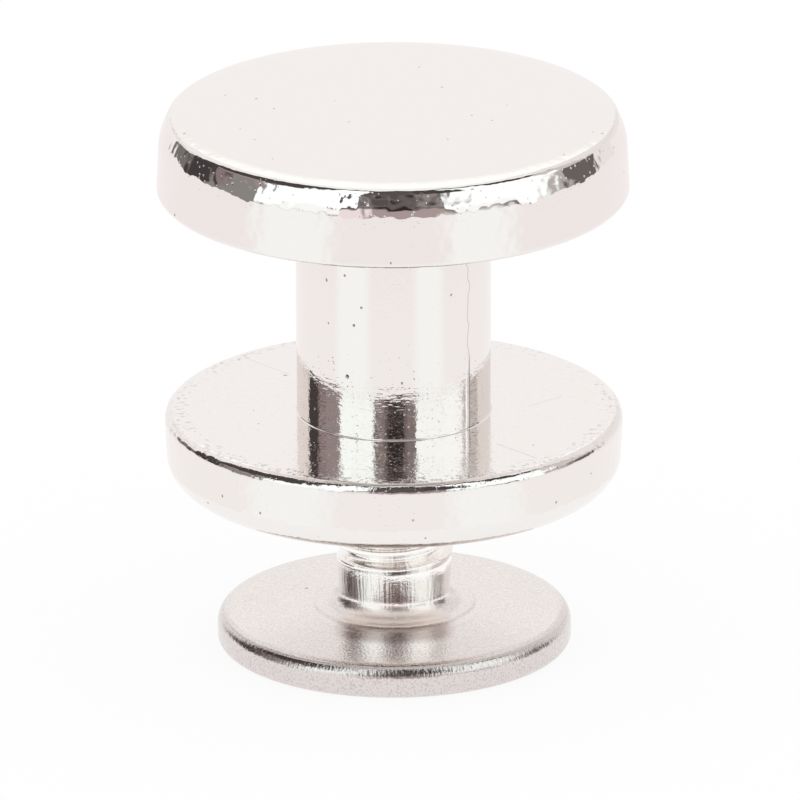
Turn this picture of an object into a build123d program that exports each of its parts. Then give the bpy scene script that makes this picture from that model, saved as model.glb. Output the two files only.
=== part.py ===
from build123d import *
from math import radians, tan
import os

# A screw back stud, a closure for leather straps, in two pieces on one axis.
# The stud is a single zinc casting: a broad cap, a neck that a strap's keyhole slips over, and a
# base flange. It is drilled and tapped from below. The screw comes up through the leather.
# Sizes are millimetres. The axis is Z, and the screw's head stands on Z = 0.

# The screw's head, thin and flat, with its edges broken
head_dia = 9.0
head_thickness = 1.0
head_top_bevel = 0.13
head_bottom_bevel = 0.15

# The driver slot, coined into the underside of the head with rounded ends, short of the rim
slot_length = 6.2
slot_width = 1.0
slot_depth = 0.45

# The screw's shank, which flares onto the head. Its plain part tapers up to the thread
shank_length = 6.0
foot_dia = 4.1
foot_step = 0.05
foot_radius = 0.42
plain_foot_dia = 2.8
plain_top_dia = 2.92
plain_length = 1.2
run_out_length = 0.35
thread_dia = 3.0
tip_chamfer = 0.3

# How far the stud stands off the screw's head: the leather goes between them
leather_gap = 3.33

# The stud's base flange, drafted so that it narrows downwards
flange_dia = 11.66
flange_bottom_dia = 11.47
flange_thickness = 1.92
flange_top_bevel = 0.12
flange_bottom_radius = 0.8

# The stud's neck
neck_dia = 4.95
neck_height = 5.85
neck_foot_radius = 0.1

# The stud's cap: a short draft, then a steep bevel that is blended into the side and the flat top
cap_dia = 12.0
cap_thickness = 2.07
cap_draft = 0.07
cap_bevel_width = 0.256
cap_bevel_height = 0.62
cap_shoulder_radius = 1.2
cap_crown_radius = 0.21
cap_bottom_bevel = 0.11

# The tapped bore in the stud, open below
thread_clearance = 0.03
bore_depth = 6.5
bore_countersink = 0.3
drill_point_angle = 118.0

# Levels along the axis, from the screw's head upwards
foot_z = head_thickness + foot_step
plain_top_z = head_thickness + plain_length
flange_bottom_z = head_thickness + leather_gap
flange_top_z = flange_bottom_z + flange_thickness
cap_bottom_z = flange_top_z + neck_height
cap_top_z = cap_bottom_z + cap_thickness
tip_z = head_thickness + shank_length
bore_end_z = flange_bottom_z + bore_depth

# The bore clears the thread's crests all round, and ends in the cone that the drill leaves
bore_radius = thread_dia / 2 + thread_clearance
drill_point_height = bore_radius / tan(radians(drill_point_angle / 2))

# Radii of the head, of the flange and of the cap's rim from its widest point up to the flat top
head_radius = head_dia / 2
flange_radius = flange_dia / 2
neck_radius = neck_dia / 2
rim_radius = cap_dia / 2
shoulder_radius = rim_radius - cap_draft
flat_top_radius = shoulder_radius - cap_bevel_width

# The stud: cap, neck and base flange turned about the axis as one solid
with BuildPart() as stud:
    with BuildSketch(Plane.XZ):
        with BuildLine():
            FilletPolyline(
                (0, flange_bottom_z),
                (flange_bottom_dia / 2, flange_bottom_z),
                (flange_radius, flange_top_z - flange_top_bevel),
                (flange_radius - flange_top_bevel, flange_top_z),
                radius=[flange_bottom_radius, 0],
            )
            FilletPolyline(
                (flange_radius - flange_top_bevel, flange_top_z),
                (neck_radius, flange_top_z),
                (neck_radius, cap_bottom_z),
                (rim_radius - cap_bottom_bevel, cap_bottom_z),
                (rim_radius, cap_bottom_z + cap_bottom_bevel),
                radius=[neck_foot_radius, 0, 0],
            )
            FilletPolyline(
                (rim_radius, cap_bottom_z + cap_bottom_bevel),
                (shoulder_radius, cap_top_z - cap_bevel_height),
                (flat_top_radius, cap_top_z),
                (0, cap_top_z),
                radius=[cap_shoulder_radius, cap_crown_radius],
            )
            Line((0, cap_top_z), (0, flange_bottom_z))
        make_face()
    revolve(axis=Axis.Z)

    # The bore: a countersunk mouth, the tapped wall and the drill's cone
    with BuildSketch(Plane.XZ):
        with BuildLine():
            Polyline(
                (0, flange_bottom_z),
                (bore_radius + bore_countersink, flange_bottom_z),
                (bore_radius, flange_bottom_z + bore_countersink),
                (bore_radius, bore_end_z - drill_point_height),
                (0, bore_end_z),
                close=True,
            )
        make_face()
    revolve(axis=Axis.Z, mode=Mode.SUBTRACT)

# The screw: head, flared foot, plain shank and thread turned about the axis as one solid
with BuildPart() as screw:
    with BuildSketch(Plane.XZ):
        with BuildLine():
            Polyline(
                (0, 0),
                (head_radius - head_bottom_bevel, 0),
                (head_radius, head_bottom_bevel),
                (head_radius, head_thickness - head_top_bevel),
                (head_radius - head_top_bevel, head_thickness),
                (foot_dia / 2, head_thickness),
                (foot_dia / 2, foot_z),
            )
            FilletPolyline(
                (foot_dia / 2, foot_z),
                (plain_foot_dia / 2, foot_z),
                (plain_top_dia / 2, plain_top_z),
                radius=[foot_radius],
            )
            Polyline(
                (plain_top_dia / 2, plain_top_z),
                (thread_dia / 2, plain_top_z + run_out_length),
                (thread_dia / 2, tip_z - tip_chamfer),
                (thread_dia / 2 - tip_chamfer, tip_z),
                (0, tip_z),
                (0, 0),
            )
        make_face()
    revolve(axis=Axis.Z)

    # The driver slot, pressed up into the head
    with BuildSketch():
        SlotOverall(slot_length, slot_width)
    extrude(amount=slot_depth, mode=Mode.SUBTRACT)

os.makedirs("parts", exist_ok=True)

stud.part.label = "stud"
export_step(stud.part, "parts/stud.step")

screw.part.label = "screw"
export_step(screw.part, "parts/screw.step")
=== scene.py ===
from math import atan2, ceil, cos, pi, radians, sin, tan

import bmesh
import bpy
from mathutils import Matrix, Vector


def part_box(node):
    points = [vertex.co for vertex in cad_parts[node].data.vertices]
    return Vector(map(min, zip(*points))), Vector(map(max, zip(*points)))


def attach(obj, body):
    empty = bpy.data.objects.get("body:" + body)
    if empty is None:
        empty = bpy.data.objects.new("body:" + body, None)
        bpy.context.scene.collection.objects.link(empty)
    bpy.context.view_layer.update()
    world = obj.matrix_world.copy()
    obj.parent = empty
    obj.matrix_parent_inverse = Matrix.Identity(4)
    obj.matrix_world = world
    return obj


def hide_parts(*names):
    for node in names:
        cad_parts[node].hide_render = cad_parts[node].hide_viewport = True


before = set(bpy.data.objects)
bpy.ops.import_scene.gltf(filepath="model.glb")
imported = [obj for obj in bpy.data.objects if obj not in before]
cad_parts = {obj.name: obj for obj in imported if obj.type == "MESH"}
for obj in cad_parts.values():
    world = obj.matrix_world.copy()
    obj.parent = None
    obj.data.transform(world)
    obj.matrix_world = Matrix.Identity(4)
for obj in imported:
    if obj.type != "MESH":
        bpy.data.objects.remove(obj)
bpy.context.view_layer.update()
mm = 0.001

# THE SCREW
# One cold-headed piece of steel: a thin flat head with a driver slot coined into its underside, and a
# shank that flares onto the head. Its M3 thread is rolled. It comes up through the back of the leather.
screw_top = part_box("screw")[1].z
head_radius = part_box("screw")[1].x
head_thickness = 1.0 * mm
head_fall = 0.14 * mm
head_top_rounding = 0.38 * mm
head_bottom_rounding = 0.21 * mm
slot_half_length = 3.1 * mm
slot_half_width = 0.5 * mm
slot_depth = 0.45 * mm
slot_edge = 0.05 * mm
foot_radius = 2.05 * mm
foot_step = 0.05 * mm
foot_step_rounding = 0.05 * mm
foot_rounding = 0.42 * mm
plain_foot_radius = 1.4 * mm
plain_top_radius = 1.46 * mm
plain_top = 2.2 * mm
thread_pitch = 0.5 * mm
thread_crest_radius = 1.5 * mm
thread_root_radius = 1.2 * mm
thread_run_out = 0.35 * mm
head_columns = 384
thread_columns = 192
thread_rows = 14
holding_gap = 0.012 * mm


def rounded(corners, steps=12, longest=9.0 * mm):
    """An outline through corners (radius, height, fillet). Each arc has a holding point on either side."""
    points = []
    for index, (radius, height, fillet) in enumerate(corners):
        corner = Vector((radius, height))
        if not fillet:
            points.append(corner)
            continue
        before = (Vector(corners[index - 1][:2]) - corner).normalized()
        after = (Vector(corners[index + 1][:2]) - corner).normalized()
        half_angle = before.angle(after) / 2
        centre = corner + (before + after).normalized() * fillet / sin(half_angle)
        start = corner + before * fillet / tan(half_angle) - centre
        end = corner + after * fillet / tan(half_angle) - centre
        first = atan2(start.y, start.x)
        sweep = (atan2(end.y, end.x) - first + pi) % (2 * pi) - pi
        points.append(centre + start + before * holding_gap)
        for step in range(steps + 1):
            angle = first + sweep * step / steps
            points.append(centre + fillet * Vector((cos(angle), sin(angle))))
        points.append(centre + end + after * holding_gap)
    outline = [points[0]]
    for point in points[1:]:
        start = outline[-1]
        stretches = max(1, ceil((point - start).length / longest))
        for stretch in range(1, stretches + 1):
            outline.append(start.lerp(point, stretch / stretches))
    return outline


def ring(shell, radius, height, columns):
    """A ring of vertices about the axis, or one vertex on it. The radius may follow the angle."""
    if radius == 0:
        return [shell.verts.new((0, 0, height))]
    corners = []
    for column in range(columns):
        angle = 2 * pi * column / columns
        reach = radius(angle) if callable(radius) else radius
        corners.append(shell.verts.new((reach * cos(angle), reach * sin(angle), height)))
    return corners


def skin(shell, one, other):
    """The faces between two rings, one of which may have fewer columns or be a single vertex."""
    columns = max(1, min(len(one), len(other)))
    if columns == 1:
        columns = max(len(one), len(other))
    for column in range(columns):
        loop = []
        for corners, step in ((one, 1), (other, -1)):
            share = len(corners) // columns
            if share == 0:
                loop.append(corners[0])
                continue
            span = range(column * share, (column + 1) * share + 1)[::step]
            loop.extend(corners[place % len(corners)] for place in span)
        shell.faces.new(loop)


def turned(shell, outline, columns):
    """Turns an outline about the axis, and returns its first and last rings."""
    rings = [ring(shell, point.x, point.y, columns) for point in outline]
    for one, other in zip(rings, rings[1:]):
        skin(shell, one, other)
    return rings[0], rings[-1]


def slot_outline(growth):
    """The driver slot's outline, with round ends, as a radius for each angle."""

    def reach(angle):
        across = abs(sin(angle))
        along = abs(cos(angle))
        end_centre = slot_half_length - slot_half_width
        end_radius = slot_half_width + growth
        if across * end_centre >= along * end_radius:
            return end_radius / across
        return end_centre * along + (end_radius**2 - (end_centre * across) ** 2) ** 0.5

    return reach


def feed(tree, socket, value):
    """Links an output to a socket, or sets the socket to a plain value."""
    if isinstance(value, bpy.types.NodeSocket):
        tree.links.new(value, socket)
    elif value is not None:
        socket.default_value = value


def put(tree, kind, *values, **settings):
    """Adds a node with its settings, and feeds its sockets in their order."""
    node = tree.nodes.new(kind)
    for name, setting in settings.items():
        setattr(node, name, setting)
    for socket, value in zip(node.inputs, values):
        feed(tree, socket, value)
    return node


def reckon(tree, operation, *values):
    """The result of one Math node."""
    return put(tree, "ShaderNodeMath", *values, operation=operation).outputs[0]


def fade(tree, value, start, end, low=0.0, high=1.0):
    """Goes smoothly from low to high as the value goes from start to end."""
    node = put(tree, "ShaderNodeMapRange", value, start, end, low, high, interpolation_type="SMOOTHSTEP")
    return node.outputs[0]


def open_group(name, kind, inputs, outputs):
    """A node group with named sockets. Returns the tree, its input sockets by name and its output node."""
    tree = bpy.data.node_groups.new(name, kind)
    for socket, value in inputs.items():
        if value is None:
            tree.interface.new_socket(socket, in_out="INPUT", socket_type="NodeSocketGeometry")
        elif isinstance(value, bool):
            tree.interface.new_socket(socket, in_out="INPUT", socket_type="NodeSocketBool")
        elif isinstance(value, int):
            tree.interface.new_socket(socket, in_out="INPUT", socket_type="NodeSocketInt")
        elif isinstance(value, float):
            tree.interface.new_socket(socket, in_out="INPUT", socket_type="NodeSocketFloat")
        else:
            tree.interface.new_socket(socket, in_out="INPUT", socket_type="NodeSocketVector")
    for socket, socket_type in outputs.items():
        tree.interface.new_socket(socket, in_out="OUTPUT", socket_type=socket_type)
    for item in tree.interface.items_tree:
        if item.in_out == "INPUT" and isinstance(inputs[item.name], (int, float)):
            item.default_value = inputs[item.name]
    given = tree.nodes.new("NodeGroupInput").outputs
    result = tree.nodes.new("NodeGroupOutput")
    return tree, given, result


thread_inputs = {
    "Bottom": 0.0,
    "Top": 0.01,
    "Pitch": 0.0005,
    "Crest radius": 0.0015,
    "Root radius": 0.0012,
    "Plain radius": 0.0015,
    "Run-out": 0.0003,
    "Cone radius": 0.0012,
    "Turns": 10,
    "Columns": 192,
    "Rows": 12,
    "Inside": False,
}
crest_share = 0.16
root_share = 0.8


def thread_strip():
    """A right-hand thread as one strip that winds up the axis, a pitch wide. It runs out at one end,
    and at the other, the tip of a screw or the mouth of a bore, it ends in a 45 degree cone."""
    tree, given, result = open_group(
        "Thread strip", "GeometryNodeTree", thread_inputs, {"Strip": "NodeSocketGeometry"}
    )
    across = reckon(tree, "MULTIPLY_ADD", given["Turns"], given["Columns"], 1.0)
    up = reckon(tree, "ADD", given["Rows"], 1.0)
    grid = put(tree, "GeometryNodeMeshGrid", 1.0, 1.0, across, up)
    place = put(tree, "ShaderNodeSeparateXYZ", put(tree, "GeometryNodeInputPosition").outputs[0])
    turn = reckon(tree, "MULTIPLY", reckon(tree, "ADD", place.outputs["X"], 0.5), given["Turns"])
    phase = reckon(tree, "ADD", place.outputs["Y"], 0.5)
    climb = reckon(tree, "SUBTRACT", reckon(tree, "ADD", turn, phase), 1.0)
    height = reckon(tree, "MULTIPLY_ADD", climb, given["Pitch"], given["Bottom"])
    height = reckon(tree, "MINIMUM", reckon(tree, "MAXIMUM", height, given["Bottom"]), given["Top"])
    from_crest = reckon(tree, "ABSOLUTE", reckon(tree, "MULTIPLY_ADD", phase, 2.0, -1.0))
    ridge = fade(tree, from_crest, crest_share, root_share, 1.0, 0.0)
    depth = reckon(tree, "SUBTRACT", given["Crest radius"], given["Root radius"])
    cut = reckon(tree, "MULTIPLY_ADD", ridge, depth, given["Root radius"])
    below_top = reckon(tree, "SUBTRACT", given["Top"], height)
    above_bottom = reckon(tree, "SUBTRACT", height, given["Bottom"])
    from_cone = put(tree, "GeometryNodeSwitch", given["Inside"], below_top, above_bottom, input_type="FLOAT")
    from_plain = put(tree, "GeometryNodeSwitch", given["Inside"], above_bottom, below_top, input_type="FLOAT")
    full = fade(tree, reckon(tree, "DIVIDE", from_plain.outputs[0], given["Run-out"]), 0.0, 1.0)
    rise = reckon(tree, "SUBTRACT", cut, given["Plain radius"])
    radius = reckon(tree, "MULTIPLY_ADD", rise, full, given["Plain radius"])
    outer_cone = reckon(tree, "ADD", given["Cone radius"], from_cone.outputs[0])
    inner_cone = reckon(tree, "SUBTRACT", given["Cone radius"], from_cone.outputs[0])
    outer = reckon(tree, "MINIMUM", radius, outer_cone)
    inner = reckon(tree, "MAXIMUM", radius, inner_cone)
    radius = put(tree, "GeometryNodeSwitch", given["Inside"], outer, inner, input_type="FLOAT").outputs[0]
    angle = reckon(tree, "MULTIPLY", turn, 2 * pi)
    x = reckon(tree, "MULTIPLY", radius, reckon(tree, "COSINE", angle))
    y = reckon(tree, "MULTIPLY", radius, reckon(tree, "SINE", angle))
    point = put(tree, "ShaderNodeCombineXYZ", x, y, height)
    wound = put(tree, "GeometryNodeSetPosition", grid.outputs["Mesh"], None, point.outputs[0])
    tree.links.new(wound.outputs[0], result.inputs[0])
    return tree


strip_group = thread_strip()
merge_gap = 0.0004 * mm
crease_angle = radians(40)


def threaded(name, material):
    """A geometry tree that joins a blank to its thread, and gives both their material."""
    tree, given, result = open_group(
        name, "GeometryNodeTree", {"Blank": None, **thread_inputs}, {name: "NodeSocketGeometry"}
    )
    strip = put(tree, "GeometryNodeGroup", node_tree=strip_group)
    for size in thread_inputs:
        feed(tree, strip.inputs[size], given[size])
    joined = put(tree, "GeometryNodeJoinGeometry")
    for part in (strip.outputs[0], given["Blank"]):
        tree.links.new(part, joined.inputs[0])
    merged = put(tree, "GeometryNodeMergeByDistance", joined.outputs[0], None, merge_gap)
    smooth = put(tree, "GeometryNodeSetShadeSmooth", merged.outputs[0])
    real = put(tree, "GeometryNodeRealizeInstances", smooth.outputs[0])
    painted = put(tree, "GeometryNodeSetMaterial", real.outputs[0], None, material)
    tree.links.new(painted.outputs[0], result.inputs[0])
    return tree


def set_inputs(modifier, values):
    """Sets a modifier's inputs by the identifiers of their sockets."""
    for item in modifier.node_group.interface.items_tree:
        if item.in_out == "INPUT" and item.name in values:
            modifier[item.identifier] = values[item.name]


def finished(name, shell, tree, values):
    """The piece that a geometry tree makes of a shell, as a plain mesh with its faces outwards."""
    blank = bpy.data.meshes.new(name)
    shell.to_mesh(blank)
    shell.free()
    piece = bpy.data.objects.new(name, blank)
    bpy.context.scene.collection.objects.link(piece)
    modifier = piece.modifiers.new(name, "NODES")
    modifier.node_group = tree
    set_inputs(modifier, values)
    seen = piece.evaluated_get(bpy.context.evaluated_depsgraph_get())
    piece.data = bpy.data.meshes.new_from_object(seen)
    piece.modifiers.clear()
    piece.data.name = name
    whole = bmesh.new()
    whole.from_mesh(piece.data)
    bmesh.ops.remove_doubles(whole, verts=whole.verts, dist=merge_gap)
    bmesh.ops.dissolve_degenerate(whole, edges=whole.edges, dist=merge_gap / 10)
    bmesh.ops.recalc_face_normals(whole, faces=whole.faces)
    whole.to_mesh(piece.data)
    whole.free()
    piece.data.set_sharp_from_angle(angle=crease_angle)
    return piece


def noise(tree, place, size, detail):
    """A soft noise from 0 to 1. Its patches are about as wide as the size, in metres."""
    node = put(tree, "ShaderNodeTexNoise", place)
    feed(tree, node.inputs["Scale"], 1 / size)
    feed(tree, node.inputs["Detail"], detail)
    return node.outputs[0]


def centred(tree, value):
    """A noise that swings about zero, so that a mask over it leaves no step."""
    return reckon(tree, "SUBTRACT", value, 0.5)


def metal_skin():
    """What a cast or rolled metal surface shows close up: slow swells, a fine grain and scattered pits.
    Sizes and heights are metres."""
    inputs = {
        "Vector": (0.0, 0.0, 0.0),
        "Swell size": 0.001,
        "Swell height": 0.0,
        "Grain size": 0.0001,
        "Grain height": 0.0,
        "Pit spacing": 0.0005,
        "Pit radius": 0.00003,
        "Pit share": 0.1,
        "Pit depth": 0.0,
    }
    outputs = {"Height": "NodeSocketFloat", "Pits": "NodeSocketFloat"}
    tree, given, result = open_group("Metal skin", "ShaderNodeTree", inputs, outputs)
    swell = put(tree, "ShaderNodeTexNoise", given["Vector"])
    feed(tree, swell.inputs["Scale"], reckon(tree, "DIVIDE", 1.0, given["Swell size"]))
    feed(tree, swell.inputs["Detail"], 1.0)
    grain = put(tree, "ShaderNodeTexNoise", given["Vector"])
    feed(tree, grain.inputs["Scale"], reckon(tree, "DIVIDE", 1.0, given["Grain size"]))
    feed(tree, grain.inputs["Detail"], 2.0)
    cells = put(tree, "ShaderNodeTexVoronoi", given["Vector"])
    feed(tree, cells.inputs["Scale"], reckon(tree, "DIVIDE", 1.0, given["Pit spacing"]))
    dice = put(tree, "ShaderNodeSeparateXYZ", cells.outputs["Color"])
    chosen = reckon(tree, "LESS_THAN", dice.outputs["X"], given["Pit share"])
    reach = reckon(tree, "DIVIDE", given["Pit radius"], given["Pit spacing"])
    reach = reckon(tree, "MULTIPLY", reach, reckon(tree, "ADD", dice.outputs["Y"], 0.4))
    inside = fade(tree, reckon(tree, "DIVIDE", cells.outputs["Distance"], reach), 0.4, 1.0, 1.0, 0.0)
    pits = reckon(tree, "MULTIPLY", inside, chosen)
    height = reckon(tree, "MULTIPLY", centred(tree, swell.outputs[0]), given["Swell height"])
    height = reckon(tree, "MULTIPLY_ADD", centred(tree, grain.outputs[0]), given["Grain height"], height)
    dip = reckon(tree, "MULTIPLY", pits, given["Pit depth"])
    tree.links.new(reckon(tree, "SUBTRACT", height, dip), result.inputs["Height"])
    tree.links.new(pits, result.inputs["Pits"])
    return tree


skin_group = metal_skin()


def new_metal(name):
    """A material with its tree, its shader and the piece's own coordinates."""
    material = bpy.data.materials.new(name)
    material.use_nodes = True
    tree = material.node_tree
    shader = tree.nodes["Principled BSDF"]
    shader.inputs["Metallic"].default_value = 1.0
    place = put(tree, "ShaderNodeTexCoord").outputs["Object"]
    return material, tree, shader, place


def raised(tree, shader, height):
    """The shader's normal follows a height, in metres."""
    bump = put(tree, "ShaderNodeBump")
    feed(tree, bump.inputs["Distance"], 1.0)
    feed(tree, bump.inputs["Height"], height)
    tree.links.new(bump.outputs[0], shader.inputs["Normal"])


def use_skin(tree, place, values):
    """Places the metal skin group with a material's own values."""
    node = put(tree, "ShaderNodeGroup", node_tree=skin_group)
    feed(tree, node.inputs["Vector"], place)
    for name, value in values.items():
        feed(tree, node.inputs[name], value)
    return node


def pit():
    """Adds one round pit, at a place on the surface, to a mask of the pits so far."""
    inputs = {"Vector": (0.0, 0.0, 0.0), "Place": (0.0, 0.0, 0.0), "Radius": 0.00003, "Others": 0.0}
    tree, given, result = open_group("Pit", "ShaderNodeTree", inputs, {"Pits": "NodeSocketFloat"})
    away = put(tree, "ShaderNodeVectorMath", given["Vector"], given["Place"], operation="DISTANCE")
    share = reckon(tree, "DIVIDE", away.outputs["Value"], given["Radius"])
    both = reckon(tree, "MAXIMUM", fade(tree, share, 0.3, 1.0, 1.0, 0.0), given["Others"])
    tree.links.new(both, result.inputs[0])
    return tree


pit_group = pit()
pit_growth = 1.35


def pitted(tree, place, pits, others):
    """Adds pits, each given as x, y, z and radius in mm, to a mask."""
    for x, y, z, radius in pits:
        node = put(tree, "ShaderNodeGroup", node_tree=pit_group)
        feed(tree, node.inputs["Vector"], place)
        feed(tree, node.inputs["Place"], (x * mm, y * mm, z * mm))
        feed(tree, node.inputs["Radius"], radius * pit_growth * mm)
        feed(tree, node.inputs["Others"], others)
        others = node.outputs[0]
    return others


def blend(tree, share, one, other):
    """A colour between two, by a mask."""
    node = put(tree, "ShaderNodeMix", data_type="RGBA")
    for socket, value in ((0, share), (6, one), (7, other)):
        feed(tree, node.inputs[socket], value)
    return node.outputs[2]


def across_axis(tree, place):
    """A point's coordinates, its distance from the part's axis, and its place with no height."""
    parts = put(tree, "ShaderNodeSeparateXYZ", place).outputs
    flat = put(tree, "ShaderNodeVectorMath", place, (1.0, 1.0, 0.0), operation="MULTIPLY")
    length = put(tree, "ShaderNodeVectorMath", flat.outputs[0], operation="LENGTH")
    return parts, length.outputs["Value"], flat.outputs[0]


steel_colour = (0.765, 0.7, 0.69, 1.0)
steel_light_colour = (0.865, 0.84, 0.81, 1.0)
steel_shank_colour = (1.0, 0.975, 0.95, 1.0)
steel_worn_colour = (0.62, 0.555, 0.545, 1.0)
# The foot colour is a painted tan reflection, laid on the front of the foot only.
steel_foot_painted_reflection_colour = (0.99, 0.915, 0.865, 1.0)
# Painted shade: the dark colour of the head's face just in front of the foot.
steel_painted_shade_colour = (0.4, 0.315, 0.29, 1.0)
steel_pit_colour = (0.3, 0.27, 0.26, 1.0)
head_pits = (
    (-2.24, 1.01, 1.0, 0.05),
    (-4.23, -0.13, 1.0, 0.04),
    (-4.17, -0.92, 1.0, 0.037),
    (2.85, -2.57, 1.0, 0.037),
)


def satin_steel():
    """Plated steel. Tumbling left the head's face satin and its rim worn. The shank is brighter, with the
    fine upright strokes of the die. In front the foot has a rougher finish and a painted tan reflection, and
    the head's face before it a painted shade."""
    material, tree, shader, place = new_metal("satin_steel")
    parts, reach, flat = across_axis(tree, place)
    height = parts["Z"]
    on_rim = fade(tree, reach, head_radius - 0.2 * mm, head_radius - 0.12 * mm)
    on_shank = fade(tree, height, head_thickness + 0.24 * mm, head_thickness + 0.46 * mm)
    bright = reckon(tree, "MAXIMUM", on_rim, on_shank)
    grain = use_skin(
        tree,
        place,
        {
            "Swell size": 0.35 * mm,
            "Swell height": 0.003 * mm,
            "Grain size": 0.06 * mm,
            "Grain height": reckon(tree, "MULTIPLY_ADD", bright, -0.0045 * mm, 0.009 * mm),
            "Pit spacing": 0.2 * mm,
            "Pit radius": 0.03 * mm,
            "Pit share": 0.25,
            "Pit depth": 0.004 * mm,
        },
    )
    outwards = put(tree, "ShaderNodeVectorMath", flat, operation="NORMALIZE").outputs[0]
    girth = reckon(tree, "MULTIPLY_ADD", on_rim, head_radius - plain_top_radius, plain_top_radius)
    wound = put(tree, "ShaderNodeVectorMath", outwards, operation="SCALE")
    feed(tree, wound.inputs["Scale"], girth)
    lift = reckon(tree, "MULTIPLY", height, reckon(tree, "MULTIPLY_ADD", on_rim, 0.3, 0.05))
    lift = put(tree, "ShaderNodeCombineXYZ", None, None, lift)
    drawn = put(tree, "ShaderNodeVectorMath", wound.outputs[0], lift.outputs[0], operation="ADD")
    strokes = noise(tree, drawn.outputs[0], 0.07 * mm, 5.0)
    depth = reckon(tree, "MULTIPLY_ADD", on_rim, 0.014 * mm, reckon(tree, "MULTIPLY", on_shank, 0.017 * mm))
    bumps = reckon(tree, "MULTIPLY_ADD", centred(tree, strokes), depth, grain.outputs["Height"])
    pits = pitted(tree, place, head_pits, 0.0)
    raised(tree, shader, reckon(tree, "MULTIPLY_ADD", pits, -0.012 * mm, bumps))
    aside = reckon(tree, "ABSOLUTE", parts["X"])
    in_front = fade(tree, aside, 1.1 * mm, 1.65 * mm, 1.0, 0.0)
    in_front = reckon(tree, "MULTIPLY", in_front, fade(tree, parts["Y"], -1.3 * mm, -0.9 * mm, 1.0, 0.0))
    on_top = fade(tree, height, head_thickness - 0.15 * mm, head_thickness - 0.07 * mm)
    in_front = reckon(tree, "MULTIPLY", in_front, on_top)
    on_foot = fade(tree, reach, foot_radius - 0.06 * mm, foot_radius - 0.02 * mm, 1.0, 0.0)
    on_foot = reckon(tree, "MULTIPLY", on_foot, reckon(tree, "SUBTRACT", 1.0, on_shank))
    # Rougher in front, where the foot also takes a painted tan reflection in place of what it mirrors.
    matte_and_painted_tan = reckon(tree, "MULTIPLY", on_foot, in_front)
    roughness = reckon(tree, "MULTIPLY_ADD", on_foot, 0.09, 0.09)
    roughness = reckon(tree, "MULTIPLY_ADD", matte_and_painted_tan, 0.19, roughness)
    feed(tree, shader.inputs["Roughness"], reckon(tree, "MULTIPLY_ADD", bright, -0.03, roughness))
    mottle = noise(tree, place, 0.055 * mm, 2.0)
    cloud = fade(tree, mottle, 0.35, 0.65)
    worn = reckon(tree, "MULTIPLY", fade(tree, mottle, 0.35, 0.7), on_rim)
    below_step = fade(tree, height, head_thickness + 0.01 * mm, head_thickness + foot_step, 1.0, 0.0)
    # Painted shade: the head's face just in front of the foot is darkened on the front only, in place of the
    # dark mirrored flare and its shadow.
    painted_shade = fade(tree, reach, foot_radius + 0.6 * mm, foot_radius + 1.1 * mm, 0.8, 0.0)
    painted_shade = reckon(tree, "MULTIPLY", painted_shade, below_step)
    painted_shade = reckon(tree, "MULTIPLY", painted_shade, in_front)
    colour = blend(tree, cloud, steel_colour, steel_light_colour)
    colour = blend(tree, worn, colour, steel_worn_colour)
    colour = blend(tree, on_shank, colour, steel_shank_colour)
    colour = blend(tree, matte_and_painted_tan, colour, steel_foot_painted_reflection_colour)
    colour = blend(tree, painted_shade, colour, steel_painted_shade_colour)
    feed(tree, shader.inputs["Base Color"], blend(tree, pits, colour, steel_pit_colour))
    return material


def screw():
    """The screw's head and foot are turned, and a geometry tree winds the thread onto them."""
    tip_radius = thread_root_radius
    shell = bmesh.new()
    underside = head_radius - head_bottom_rounding - holding_gap
    rim = rounded(
        [
            (underside, 0.0, 0.0),
            (head_radius, 0.0, head_bottom_rounding),
            (head_radius, head_thickness - head_fall, head_top_rounding),
            (foot_radius + 0.4 * mm, head_thickness - head_fall * 0.1, 1.0 * mm),
            (foot_radius + 0.3 * mm, head_thickness, 0.0),
        ]
    )
    rim_start, rim_end = turned(shell, rim, head_columns)
    mouth = ring(shell, slot_outline(slot_edge), 0.0, head_columns)
    edge = ring(shell, slot_outline(slot_edge * 0.3), slot_edge * 0.3, head_columns)
    wall = ring(shell, slot_outline(0.0), slot_edge, head_columns)
    bottom = ring(shell, slot_outline(0.0), slot_depth, head_columns)
    middle = ring(shell, 0, slot_depth, 1)
    for one, other in zip((rim_start, mouth, edge, wall, bottom), (mouth, edge, wall, bottom, middle)):
        skin(shell, one, other)
    foot = rounded(
        [
            (foot_radius + 0.3 * mm, head_thickness, 0.0),
            (foot_radius + 0.04 * mm, head_thickness, foot_step_rounding),
            (foot_radius - 0.04 * mm, head_thickness + foot_step, foot_step_rounding),
            (plain_foot_radius, head_thickness + foot_step, foot_rounding),
            (plain_top_radius, plain_top, 0.0),
        ],
        longest=0.3 * mm,
    )
    foot_start, _ = turned(shell, foot, thread_columns)
    skin(shell, rim_end, foot_start)
    turned(shell, [Vector((tip_radius, screw_top)), Vector((0.0, screw_top))], thread_columns)
    sizes = {
        "Bottom": plain_top,
        "Top": screw_top,
        "Pitch": thread_pitch,
        "Crest radius": thread_crest_radius,
        "Root radius": thread_root_radius,
        "Plain radius": plain_top_radius,
        "Run-out": thread_run_out,
        "Cone radius": tip_radius,
        "Turns": ceil((screw_top - plain_top) / thread_pitch) + 1,
        "Columns": thread_columns,
        "Rows": thread_rows,
        "Inside": False,
    }
    return finished("screw_body", shell, threaded("Screw", satin_steel()), sizes)


screw_piece = screw()
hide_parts("screw")
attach(screw_piece, "screw")

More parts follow.
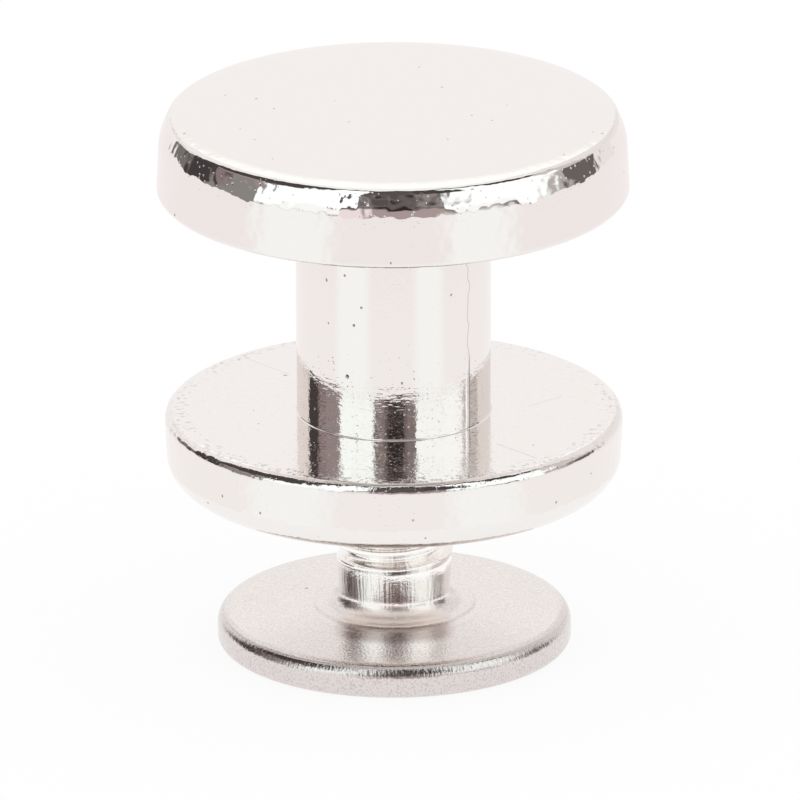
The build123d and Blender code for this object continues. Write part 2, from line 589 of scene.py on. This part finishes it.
# THE STUD
# One zinc die casting, plated and polished: a broad cap with a bevelled rim, a neck and a base flange.
# The bore is drilled and tapped from below, and a parting seam runs up both sides of the neck.
stud_low, stud_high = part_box("stud")
cap_radius = stud_high.x
cap_thickness = 2.07 * mm
cap_draft = 0.07 * mm
cap_bevel_width = 0.256 * mm
cap_bevel_height = 0.62 * mm
cap_shoulder_rounding = 1.2 * mm
cap_crown_rounding = 0.21 * mm
cap_crowning_width = 0.36 * mm
cap_crowning_drop = 0.05 * mm
cap_crowning_rounding = 3.4 * mm
cap_bottom_rounding = 0.16 * mm
neck_radius = 2.475 * mm
neck_top_rounding = 0.15 * mm
neck_foot_rounding = 0.04 * mm
flange_radius = 5.83 * mm
flange_bottom_radius = 5.735 * mm
flange_thickness = 1.92 * mm
flange_top_rounding = 0.26 * mm
flange_bottom_rounding = 0.8 * mm
bore_radius = 1.53 * mm
bore_groove_radius = 1.8 * mm
bore_mouth_radius = 1.83 * mm
bore_depth = 6.5 * mm
bore_cone_height = 0.92 * mm
tapped_length = 5.1 * mm
stud_columns = 480
bore_columns = 160
bore_rows = 10
cap_bottom = stud_high.z - cap_thickness
flange_top = stud_low.z + flange_thickness

zinc_colour = (0.9, 0.865, 0.845, 1.0)
# The pits' dark colour, also used for the painted shadow line beside the neck seam's ridge.
zinc_pit_and_painted_shadow_colour = (0.36, 0.33, 0.33, 1.0)
cap_pits = (
    (-3.46, 1.14, 14.17, 0.042),
    (-4.25, 1.42, 14.17, 0.026),
    (-3.01, 0.37, 14.17, 0.03),
    (-3.86, -1.15, 14.17, 0.022),
    (-3.49, -1.99, 14.17, 0.026),
    (-3.03, -3.44, 14.17, 0.026),
    (-1.11, -0.65, 14.17, 0.026),
    (-1.46, 0.96, 14.17, 0.02),
    (-5.27, -1.43, 14.16, 0.045),
    (1.25, 1.99, 14.17, 0.038),
    (0.67, 3.54, 14.17, 0.026),
    (2.0, -0.17, 14.17, 0.033),
    (2.51, -0.56, 14.17, 0.026),
    (1.39, -1.99, 14.17, 0.03),
    (2.89, 0.58, 14.17, 0.02),
    (4.31, -3.17, 14.17, 0.03),
    (5.29, -1.51, 14.16, 0.04),
    (5.05, -1.47, 14.17, 0.022),
    (-5.51, -2.35, 12.3, 0.038),
    (-0.06, -5.99, 12.29, 0.03),
    (5.58, -1.65, 13.82, 0.028),
    (5.84, -1.2, 12.98, 0.03),
)
neck_pits = (
    (-1.69, -1.81, 10.35, 0.038),
    (-1.23, -2.15, 10.58, 0.032),
    (-0.81, -2.34, 9.78, 0.03),
    (-1.0, -2.26, 9.28, 0.034),
    (-1.65, -1.85, 9.2, 0.025),
    (-1.18, -2.18, 7.87, 0.05),
    (1.46, -2.0, 10.0, 0.03),
    (0.21, -2.47, 7.79, 0.03),
)
flange_pits = (
    (-2.76, 2.43, 6.25, 0.055),
    (-3.43, -1.18, 6.25, 0.028),
    (-3.56, -0.21, 6.25, 0.022),
    (2.11, -2.86, 6.25, 0.035),
    (3.53, -2.83, 6.25, 0.028),
    (-4.34, -3.82, 5.28, 0.036),
    (-4.7, -3.27, 4.89, 0.036),
    (-3.38, -4.68, 5.13, 0.034),
    (4.1, -4.07, 5.17, 0.036),
    (4.99, -2.95, 5.53, 0.03),
    (0.48, -5.76, 5.32, 0.03),
    (0.79, -5.63, 4.79, 0.03),
)
flange_scratches = (
    ((-3.84, 3.79, 6.25), (-2.65, 2.5, 6.25)),
    ((2.6, -2.72, 6.25), (3.6, -3.79, 6.25)),
    ((3.42, 0.06, 6.25), (4.27, 0.79, 6.25)),
)
seam_angle = radians(49.5)
seam_ridge_top = 7.95 * mm
ripples_start = 6.85 * mm
ripples_end = 7.8 * mm
chafed_inner = 5.1 * mm
chafed_outer = 5.7 * mm
turned_line_radius = 5.5 * mm
scratch_width = 0.02 * mm


def scratch():
    """Adds one fine straight scratch, from one place to another, to a mask of the scratches so far."""
    inputs = {
        "Vector": (0.0, 0.0, 0.0),
        "From": (0.0, 0.0, 0.0),
        "To": (0.0, 0.0, 0.001),
        "Width": 0.00002,
        "Others": 0.0,
    }
    tree, given, result = open_group("Scratch", "ShaderNodeTree", inputs, {"Scratches": "NodeSocketFloat"})
    line = put(tree, "ShaderNodeVectorMath", given["To"], given["From"], operation="SUBTRACT").outputs[0]
    arm = put(tree, "ShaderNodeVectorMath", given["Vector"], given["From"], operation="SUBTRACT").outputs[0]
    along = put(tree, "ShaderNodeVectorMath", arm, line, operation="DOT_PRODUCT").outputs["Value"]
    whole = put(tree, "ShaderNodeVectorMath", line, line, operation="DOT_PRODUCT").outputs["Value"]
    share = reckon(tree, "DIVIDE", along, whole)
    share = put(tree, "ShaderNodeClamp", share).outputs[0]
    nearest = put(tree, "ShaderNodeVectorMath", line, operation="SCALE")
    feed(tree, nearest.inputs["Scale"], share)
    away = put(tree, "ShaderNodeVectorMath", arm, nearest.outputs[0], operation="DISTANCE").outputs["Value"]
    mask = fade(tree, reckon(tree, "DIVIDE", away, given["Width"]), 0.2, 1.0, 1.0, 0.0)
    tree.links.new(reckon(tree, "MAXIMUM", mask, given["Others"]), result.inputs[0])
    return tree


scratch_group = scratch()


def polished_zinc():
    """Bright plating on a polished casting. The cap's rim was polished by hand and swells a little. A
    parting seam runs up both sides of the neck: a hairline above, and a low ridge at the foot, with a
    painted shadow line beside it."""
    material, tree, shader, place = new_metal("polished_zinc")
    parts, reach, _ = across_axis(tree, place)
    height = parts["Z"]
    off_underside = reckon(tree, "ABSOLUTE", reckon(tree, "SUBTRACT", height, cap_bottom))
    as_cast = fade(tree, off_underside, 0.01 * mm, 0.03 * mm, 1.0, 0.0)
    as_cast = reckon(tree, "MULTIPLY", as_cast, fade(tree, reach, 2.6 * mm, 2.8 * mm))
    feed(tree, shader.inputs["Roughness"], reckon(tree, "MULTIPLY_ADD", as_cast, 0.25, 0.03))
    on_rim = fade(tree, reach, 5.2 * mm, 5.7 * mm)
    on_neck = fade(tree, reach, neck_radius + 0.02 * mm, neck_radius + 0.06 * mm, 1.0, 0.0)
    above_flange = fade(tree, height, flange_top, flange_top + 0.05 * mm)
    on_neck = reckon(tree, "MULTIPLY", on_neck, above_flange)
    below_cap = fade(tree, height, cap_bottom + 0.01 * mm, cap_bottom + 0.05 * mm, 1.0, 0.0)
    on_neck = reckon(tree, "MULTIPLY", on_neck, below_cap)
    rough_cast = reckon(tree, "MULTIPLY", on_rim, fade(tree, height, 13.15 * mm, 13.4 * mm, 0.25, 1.0))
    high_up = reckon(tree, "MULTIPLY", on_neck, fade(tree, height, 8.0 * mm, 8.6 * mm, 0.0, 0.55))
    rough_cast = reckon(tree, "MAXIMUM", reckon(tree, "SUBTRACT", below_cap, high_up), rough_cast)
    below_neck = fade(tree, height, flange_top + 0.01 * mm, flange_top + 0.05 * mm, 1.0, 0.0)
    on_flange_top = fade(tree, height, flange_top - 0.3 * mm, flange_top - 0.15 * mm)
    on_flange_top = reckon(tree, "MULTIPLY", on_flange_top, below_neck)
    inside = fade(tree, reach, chafed_inner, chafed_inner + 0.26 * mm, 0.14, 1.0)
    near_edge = reckon(tree, "MULTIPLY", on_flange_top, inside)
    outside = fade(tree, reach, chafed_outer - 0.18 * mm, chafed_outer, 1.0, 0.25)
    near_edge = reckon(tree, "MULTIPLY", near_edge, outside)
    surface = use_skin(
        tree,
        place,
        {
            "Swell size": 0.4 * mm,
            "Swell height": reckon(tree, "MULTIPLY_ADD", on_rim, 0.024 * mm, 0.002 * mm),
            "Grain size": 0.11 * mm,
            "Grain height": reckon(tree, "MULTIPLY_ADD", below_cap, 0.0022 * mm, 0.001 * mm),
            "Pit spacing": 0.12 * mm,
            "Pit radius": 0.026 * mm,
            "Pit share": 0.42,
            "Pit depth": reckon(tree, "MULTIPLY", rough_cast, 0.005 * mm),
        },
    )
    wobble = put(tree, "ShaderNodeTexNoise", noise_dimensions="1D")
    feed(tree, wobble.inputs["W"], reckon(tree, "DIVIDE", height, 0.8 * mm))
    feed(tree, wobble.inputs["Scale"], 1.0)
    feed(tree, wobble.inputs["Detail"], 3.0)
    sway = reckon(tree, "MULTIPLY_ADD", wobble.outputs[0], 0.3 * mm, -0.15 * mm)
    upper = fade(tree, height, seam_ridge_top, seam_ridge_top + 0.5 * mm)
    sway = reckon(tree, "MULTIPLY", sway, reckon(tree, "MULTIPLY_ADD", upper, 0.8, 0.2))
    side = reckon(tree, "MULTIPLY", parts["X"], cos(seam_angle))
    side = reckon(tree, "MULTIPLY_ADD", parts["Y"], sin(seam_angle), side)
    side = reckon(tree, "ADD", side, sway)
    off_seam = reckon(tree, "ABSOLUTE", side)
    right_of_seam = reckon(tree, "ABSOLUTE", reckon(tree, "SUBTRACT", side, 0.055 * mm))
    hairline = fade(tree, off_seam, 0.006 * mm, 0.024 * mm, 1.0, 0.0)
    hairline = reckon(tree, "MULTIPLY", hairline, on_neck)
    ridge = fade(tree, off_seam, 0.0, 0.1 * mm, 1.0, 0.0)
    ridge = reckon(tree, "MULTIPLY", ridge, reckon(tree, "SUBTRACT", 1.0, upper))
    ridge = reckon(tree, "MULTIPLY", ridge, on_neck)
    # Painted shadow: a thin dark line beside the seam's ridge, in place of the shadow the ridge casts.
    ridge_painted_shadow = fade(tree, right_of_seam, 0.008 * mm, 0.032 * mm, 1.0, 0.0)
    ridge_painted_shadow = reckon(tree, "MULTIPLY", ridge_painted_shadow, reckon(tree, "SUBTRACT", on_neck, upper))
    squeezed = put(tree, "ShaderNodeVectorMath", place, (0.25, 0.25, 1.0), operation="MULTIPLY")
    ripples = noise(tree, squeezed.outputs[0], 0.09 * mm, 2.0)
    rippled = fade(tree, height, ripples_start, ripples_start + 0.25 * mm, 0.06, 1.0)
    below_end = fade(tree, height, ripples_end, ripples_end + 0.4 * mm, 1.0, 0.0)
    rippled = reckon(tree, "MULTIPLY", rippled, below_end)
    rippled = reckon(tree, "MULTIPLY", rippled, on_neck)
    chafing = noise(tree, place, 0.16 * mm, 4.0)
    patches = noise(tree, place, 1.3 * mm, 1.0)
    patchy = reckon(tree, "MULTIPLY", fade(tree, patches, 0.3, 0.5), near_edge)
    chafed = reckon(tree, "MULTIPLY", fade(tree, chafing, 0.53, 0.64), patchy)
    turned_line = reckon(tree, "ABSOLUTE", reckon(tree, "SUBTRACT", reach, turned_line_radius))
    turned_line = fade(tree, turned_line, 0.01 * mm, 0.04 * mm, 1.0, 0.0)
    turned_line = reckon(tree, "MULTIPLY", turned_line, fade(tree, chafing, 0.42, 0.56))
    turned_line = reckon(tree, "MULTIPLY", turned_line, on_flange_top)
    pits = pitted(tree, place, cap_pits + neck_pits + flange_pits, 0.0)
    scratches = 0.0
    for start, end in flange_scratches:
        node = put(tree, "ShaderNodeGroup", node_tree=scratch_group)
        feed(tree, node.inputs["Vector"], place)
        feed(tree, node.inputs["From"], [mm * value for value in start])
        feed(tree, node.inputs["To"], [mm * value for value in end])
        feed(tree, node.inputs["Width"], scratch_width)
        feed(tree, node.inputs["Others"], scratches)
        scratches = node.outputs[0]
    bumps = reckon(tree, "MULTIPLY_ADD", ridge, 0.012 * mm, surface.outputs["Height"])
    bumps = reckon(tree, "MULTIPLY_ADD", hairline, -0.004 * mm, bumps)
    bumps = reckon(tree, "MULTIPLY_ADD", scratches, -0.005 * mm, bumps)
    depth = reckon(tree, "MULTIPLY", rippled, 0.005 * mm)
    bumps = reckon(tree, "MULTIPLY_ADD", centred(tree, ripples), depth, bumps)
    bumps = reckon(tree, "MULTIPLY_ADD", chafed, -0.008 * mm, bumps)
    bumps = reckon(tree, "MULTIPLY_ADD", turned_line, -0.003 * mm, bumps)
    raised(tree, shader, reckon(tree, "MULTIPLY_ADD", pits, -0.015 * mm, bumps))
    # The seam's hairline and the painted shadow beside its ridge darken the colour, along with pits, chafing,
    # the turned line and scratches.
    seam_line_and_painted_shadow = reckon(tree, "MULTIPLY", hairline, reckon(tree, "MULTIPLY", upper, 0.5))
    seam_line_and_painted_shadow = reckon(tree, "MAXIMUM", seam_line_and_painted_shadow, ridge_painted_shadow)
    dull_and_painted_shadow = reckon(tree, "MAXIMUM", pits, seam_line_and_painted_shadow)
    dull_and_painted_shadow = reckon(tree, "MAXIMUM", dull_and_painted_shadow, reckon(tree, "MULTIPLY", chafed, 0.45))
    dull_and_painted_shadow = reckon(tree, "MAXIMUM", dull_and_painted_shadow, reckon(tree, "MULTIPLY", turned_line, 0.15))
    dull_and_painted_shadow = reckon(tree, "MAXIMUM", dull_and_painted_shadow, reckon(tree, "MULTIPLY", scratches, 0.4))
    feed(tree, shader.inputs["Base Color"], blend(tree, dull_and_painted_shadow, zinc_colour, zinc_pit_and_painted_shadow_colour))
    return material


def stud():
    """The stud is turned as one shell. Its geometry tree taps the bore."""
    bore_end = stud_low.z + bore_depth
    flat_top_radius = cap_radius - cap_draft - cap_bevel_width
    crown_shift = cap_bevel_width * cap_crowning_drop / cap_bevel_height
    shell = bmesh.new()
    outside = rounded(
        [
            (0.0, stud_high.z, 0.0),
            (flat_top_radius - cap_crowning_width, stud_high.z, cap_crowning_rounding),
            (flat_top_radius + crown_shift, stud_high.z - cap_crowning_drop, cap_crown_rounding),
            (cap_radius - cap_draft, stud_high.z - cap_bevel_height, cap_shoulder_rounding),
            (cap_radius, cap_bottom, cap_bottom_rounding),
            (neck_radius, cap_bottom, neck_top_rounding),
            (neck_radius, flange_top, neck_foot_rounding),
            (flange_radius, flange_top, flange_top_rounding),
            (flange_bottom_radius, stud_low.z, flange_bottom_rounding),
            (flange_bottom_radius - flange_bottom_rounding - 0.3 * mm, stud_low.z, 0.0),
        ],
        longest=1.0 * mm,
    )
    _, underside = turned(shell, outside, stud_columns)
    mouth = ring(shell, bore_mouth_radius, stud_low.z, bore_columns)
    skin(shell, underside, mouth)
    drilled = [
        Vector((bore_radius, stud_low.z + tapped_length)),
        Vector((bore_radius, bore_end - bore_cone_height)),
        Vector((0.0, bore_end)),
    ]
    turned(shell, drilled, bore_columns)
    sizes = {
        "Bottom": stud_low.z,
        "Top": stud_low.z + tapped_length,
        "Pitch": thread_pitch,
        "Crest radius": bore_groove_radius,
        "Root radius": bore_radius,
        "Plain radius": bore_radius,
        "Run-out": 2 * thread_run_out,
        "Cone radius": bore_mouth_radius,
        "Turns": ceil(tapped_length / thread_pitch) + 1,
        "Columns": bore_columns,
        "Rows": bore_rows,
        "Inside": True,
    }
    return finished("stud_body", shell, threaded("Stud", polished_zinc()), sizes)


stud_piece = stud()
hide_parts("stud")
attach(stud_piece, "stud")

# THE STUDIO
# A white floor in a white tent. For the metal, two soft panels stand left and right of the camera in a
# dark room, with a gap between them that the camera looks through, and pale walls at the sides and back.
floor_reach = 0.27
floor_own_light = 0.88
studio_reach = 0.3
studio_eye = 10 * mm
white = (1.0, 1.0, 1.0, 1.0)


def seen_or_mirrored(tree):
    """1 for camera, glossy and transmission rays, otherwise 0."""
    path = put(tree, "ShaderNodeLightPath").outputs
    either = reckon(tree, "MAXIMUM", path["Is Camera Ray"], path["Is Glossy Ray"])
    return reckon(tree, "MAXIMUM", either, path["Is Transmission Ray"])


def white_floor():
    """A floor that is white to the camera and to the metal, and keeps a faint soft shadow."""
    material = bpy.data.materials.new("white_floor")
    material.use_nodes = True
    tree = material.node_tree
    tree.nodes.clear()
    share = 1.0 - floor_own_light
    matt = put(tree, "ShaderNodeBsdfDiffuse", (share, share, share, 1.0))
    glow = put(tree, "ShaderNodeEmission", white)
    feed(tree, glow.inputs["Strength"], reckon(tree, "MULTIPLY", seen_or_mirrored(tree), floor_own_light))
    both = put(tree, "ShaderNodeAddShader", matt.outputs[0], glow.outputs[0])
    output = put(tree, "ShaderNodeOutputMaterial")
    tree.links.new(both.outputs[0], output.inputs[0])
    return material


studio_wall = (0.982, 0.97, 0.962)
studio_fields = (
    ("high light", (-400, 400), (32, 200), 0, 9, 0, (1.15, 1.16, 1.15)),
    ("overhead", (-400, 400), (62, 200), 0, 14, 0, (1.0, 1.0, 0.995)),
    ("left wall", (-160, -112), (-20, 50), 0, 10, 0, (0.95, 0.94, 0.935)),
    ("right wall", (112, 160), (-20, 50), 0, 10, 0, (0.88, 0.86, 0.855)),
    ("left wall, high", (-162, -122), (18.6, 21.4), 0, 2, 0, (0.85, 0.785, 0.76)),
    ("right wall, high", (104, 162), (18.6, 21.4), 0, 2, 0, (0.83, 0.79, 0.765)),
    ("dark room", (-119, 115), (-60, 77), 30, 3, 0, (0.07, 0.06, 0.06)),
    ("left end", (-134, -114), (-60, 12), 0, 3, 0, (0.19, 0.18, 0.17)),
    ("left dark", (-117, -96), (-60, 17), 4, 5, 0, (0.06, 0.052, 0.053)),
    ("right dark", (93, 112), (-60, 17), 4, 9, 0, (0.15, 0.135, 0.13)),
    ("left grey", (-85, -25), (-60, 45), 0, 2.5, 0.7, (0.265, 0.26, 0.25)),
    ("left mauve, low", (-96, -90), (8, 14), 2, 4, 0, (0.26, 0.205, 0.21)),
    ("left mauve", (-100, -60), (19, 26), 0, 2, 0, (0.355, 0.29, 0.29)),
    ("gap haze", (-20, 28), (23, 60), 0, 2, 0, (0.33, 0.29, 0.285)),
    ("gap shade", (-14, 10), (29, 60), 0, 8, 0, (0.1, 0.09, 0.09)),
    ("gap", (-26, 30), (-60, 20.5), 0, 2, 0, (0.235, 0.2, 0.198)),
    ("gap core", (-5, 9), (-60, 20.5), 0, 8, 0, (0.03, 0.025, 0.025)),
    ("gap foot", (-14, 24), (-60, 14), 0, 4, 0, (0.43, 0.345, 0.345)),
    ("gap foot left", (-31, -15), (-60, 13), 0, 5, 0, (0.9, 0.82, 0.82)),
    ("right grey", (60, 92), (-60, 17.5), 0, 5, 0, (0.5, 0.475, 0.465)),
    ("right wing", (88, 115), (18.5, 48), 0, 4, 0, (0.66, 0.62, 0.6)),
    ("left panel", (-65, -21.5), (1, 71), 16, 2, 0.6, (1.13, 1.235, 1.227)),
    ("left notch", (-80, -52), (34, 75), 0, 9, 0, (0.07, 0.06, 0.06)),
    ("left panel border", (-22.5, -20.5), (4, 24), 0, 1, 0.65, (0.12, 0.1, 0.1)),
    ("right panel", (27, 70), (1, 73), 22, 2, 0, (1.13, 1.21, 1.21)),
    ("right panel foot", (48, 75), (1, 42), 3, 10, 0, (1.13, 1.2, 1.19)),
    ("right panel wing", (60, 88), (18.5, 46), 0, 4, 0, (1.13, 1.2, 1.19)),
    ("left panel, low", (-50, -28), (4, 15), 2, 4, 0, (1.06, 1.085, 1.085)),
    ("right panel, low", (34, 62), (4, 15), 2, 4, 0, (1.06, 1.085, 1.085)),
    ("right notch", (18, 36), (30, 77), 0, 8, 0, (0.07, 0.06, 0.06)),
    ("left streak", (-58, -28), (-60, 1.5), 0, 1.5, 0, (0.3, 0.22, 0.21)),
    ("right streak", (43, 64), (-60, 6.5), 4, 3, 0, (0.16, 0.13, 0.13)),
    ("far floor", (-400, 400), (-90, -2.3), 0, 0.8, 0, (0.948, 0.908, 0.909)),
    ("near floor", (-400, 400), (-90, -20), 0, 4, 0, (0.968, 0.947, 0.941)),
    ("left pool", (-60, -36), (-90, -2.3), 0, 14, 0, (1.0, 1.028, 1.02)),
    ("right pool", (32, 50), (-90, -2.3), 0, 14, 0, (1.0, 1.028, 1.02)),
    ("floor behind, left", (-200, -174), (-34, -12), 0, 8, 0, (0.85, 0.82, 0.835)),
    ("floor behind, right", (174, 200), (-34, -12), 0, 8, 0, (0.85, 0.82, 0.835)),
)


def field():
    """A rounded field with soft edges on the studio's shell, as a mask. Its sizes are degrees. Lean is
    how far it shifts to the right with each degree up."""
    inputs = {
        "Azimuth": 0.0,
        "Elevation": 0.0,
        "Left": 0.0,
        "Right": 0.0,
        "Bottom": 0.0,
        "Top": 0.0,
        "Corner": 0.0,
        "Edge": 1.0,
        "Lean": 0.0,
    }
    tree, given, result = open_group("Field", "ShaderNodeTree", inputs, {"Mask": "NodeSocketFloat"})
    up = reckon(tree, "SUBTRACT", reckon(tree, "MINIMUM", given["Elevation"], 30.0), 20.0)
    level = reckon(tree, "SUBTRACT", given["Azimuth"], reckon(tree, "MULTIPLY", up, given["Lean"]))
    outside = []
    for value, low, high in ((level, "Left", "Right"), (given["Elevation"], "Bottom", "Top")):
        under = reckon(tree, "SUBTRACT", given[low], value)
        over = reckon(tree, "SUBTRACT", value, given[high])
        past = reckon(tree, "ADD", reckon(tree, "MAXIMUM", under, over), given["Corner"])
        past = reckon(tree, "MAXIMUM", past, 0.0)
        outside.append(reckon(tree, "MULTIPLY", past, past))
    away = reckon(tree, "SQRT", reckon(tree, "ADD", *outside))
    away = reckon(tree, "SUBTRACT", away, given["Corner"])
    mask = fade(tree, reckon(tree, "DIVIDE", away, given["Edge"]), 0.0, 1.0, 1.0, 0.0)
    tree.links.new(mask, result.inputs[0])
    return tree


def studio_light():
    """The light of the studio's shell: fields painted one over the other on its wall and its foot."""
    group = field()
    material = bpy.data.materials.new("studio_light")
    material.use_nodes = True
    tree = material.node_tree
    tree.nodes.clear()
    place = put(tree, "ShaderNodeTexCoord").outputs["Object"]
    parts, reach, _ = across_axis(tree, place)
    back = reckon(tree, "MULTIPLY", parts["Y"], -1.0)
    azimuth = reckon(tree, "DEGREES", reckon(tree, "ARCTAN2", parts["X"], back))
    above = reckon(tree, "SUBTRACT", parts["Z"], studio_eye)
    elevation = reckon(tree, "DEGREES", reckon(tree, "ARCTAN2", above, reach))
    colour = (*studio_wall, 1.0)
    for name, azimuths, elevations, corner, edge, lean, shade in studio_fields:
        node = put(tree, "ShaderNodeGroup", azimuth, elevation, node_tree=group, name=name)
        sizes = (*azimuths, *elevations, corner, edge, lean)
        for socket, size in zip(("Left", "Right", "Bottom", "Top", "Corner", "Edge", "Lean"), sizes):
            feed(tree, node.inputs[socket], float(size))
        colour = blend(tree, node.outputs[0], colour, (*shade, 1.0))
    glow = put(tree, "ShaderNodeEmission", colour, 1.0)
    output = put(tree, "ShaderNodeOutputMaterial")
    tree.links.new(glow.outputs[0], output.inputs[0])
    material.cycles.emission_sampling = "NONE"
    return material


def studio_shell():
    """A dome over a ring that lies on the floor, seen by the metal alone. It carries the light and dark
    that the part reflects. Azimuth 0 is the camera's side, and + is to the right."""
    shell = bmesh.new()
    columns = 72
    outline = [Vector((12 * mm, 0.05 * mm)), Vector((studio_reach, 0.05 * mm))]
    for step in range(1, 25):
        angle = pi / 2 * step / 24
        radius = 0 if step == 24 else studio_reach * cos(angle)
        outline.append(Vector((radius, studio_reach * sin(angle))))
    turned(shell, outline, columns)
    mesh = bpy.data.meshes.new("studio_shell")
    shell.to_mesh(mesh)
    shell.free()
    mesh.materials.append(studio_light())
    piece = bpy.data.objects.new("studio_shell", mesh)
    bpy.context.scene.collection.objects.link(piece)
    piece.visible_camera = False
    piece.visible_diffuse = False
    piece.visible_shadow = False


studio_shell()

floor_mesh = bpy.data.meshes.new("floor")
floor_mesh.from_pydata(
    [(floor_reach * cos(a * pi / 48), floor_reach * sin(a * pi / 48), 0.0) for a in range(96)],
    [],
    [range(96)],
)
floor_mesh.materials.append(white_floor())
floor = bpy.data.objects.new("floor", floor_mesh)
bpy.context.scene.collection.objects.link(floor)

world = bpy.data.worlds.new("tent")
world.use_nodes = True
world.node_tree.nodes["Background"].inputs["Color"].default_value = white
world.node_tree.nodes["Background"].inputs["Strength"].default_value = 1.0
bpy.context.scene.world = world
bpy.context.scene.view_settings.view_transform = "Standard"

# THE CAMERA
# It stands level with the front of the part and looks down on it by 20 degrees, from far off.
camera_aim = Vector((0.159, 0.145, 6.4)) * mm
camera_distance = 700 * mm
camera_elevation = 0.348
camera_roll = 0.003
camera_lens = 1240

back = Vector((0, -cos(camera_elevation), sin(camera_elevation)))
level = Vector((1, 0, 0))
upwards = back.cross(level)
right = cos(camera_roll) * level - sin(camera_roll) * upwards
up = sin(camera_roll) * level + cos(camera_roll) * upwards
camera_data = bpy.data.cameras.new("camera")
camera_data.lens = camera_lens
camera_data.sensor_width = 36
camera_data.clip_start = 0.05
camera_data.clip_end = 5
camera = bpy.data.objects.new("camera", camera_data)
camera.matrix_world = Matrix.Translation(camera_aim + back * camera_distance) @ Matrix(
    (right, up, back)
).transposed().to_4x4()
bpy.context.scene.collection.objects.link(camera)
bpy.context.scene.camera = camera
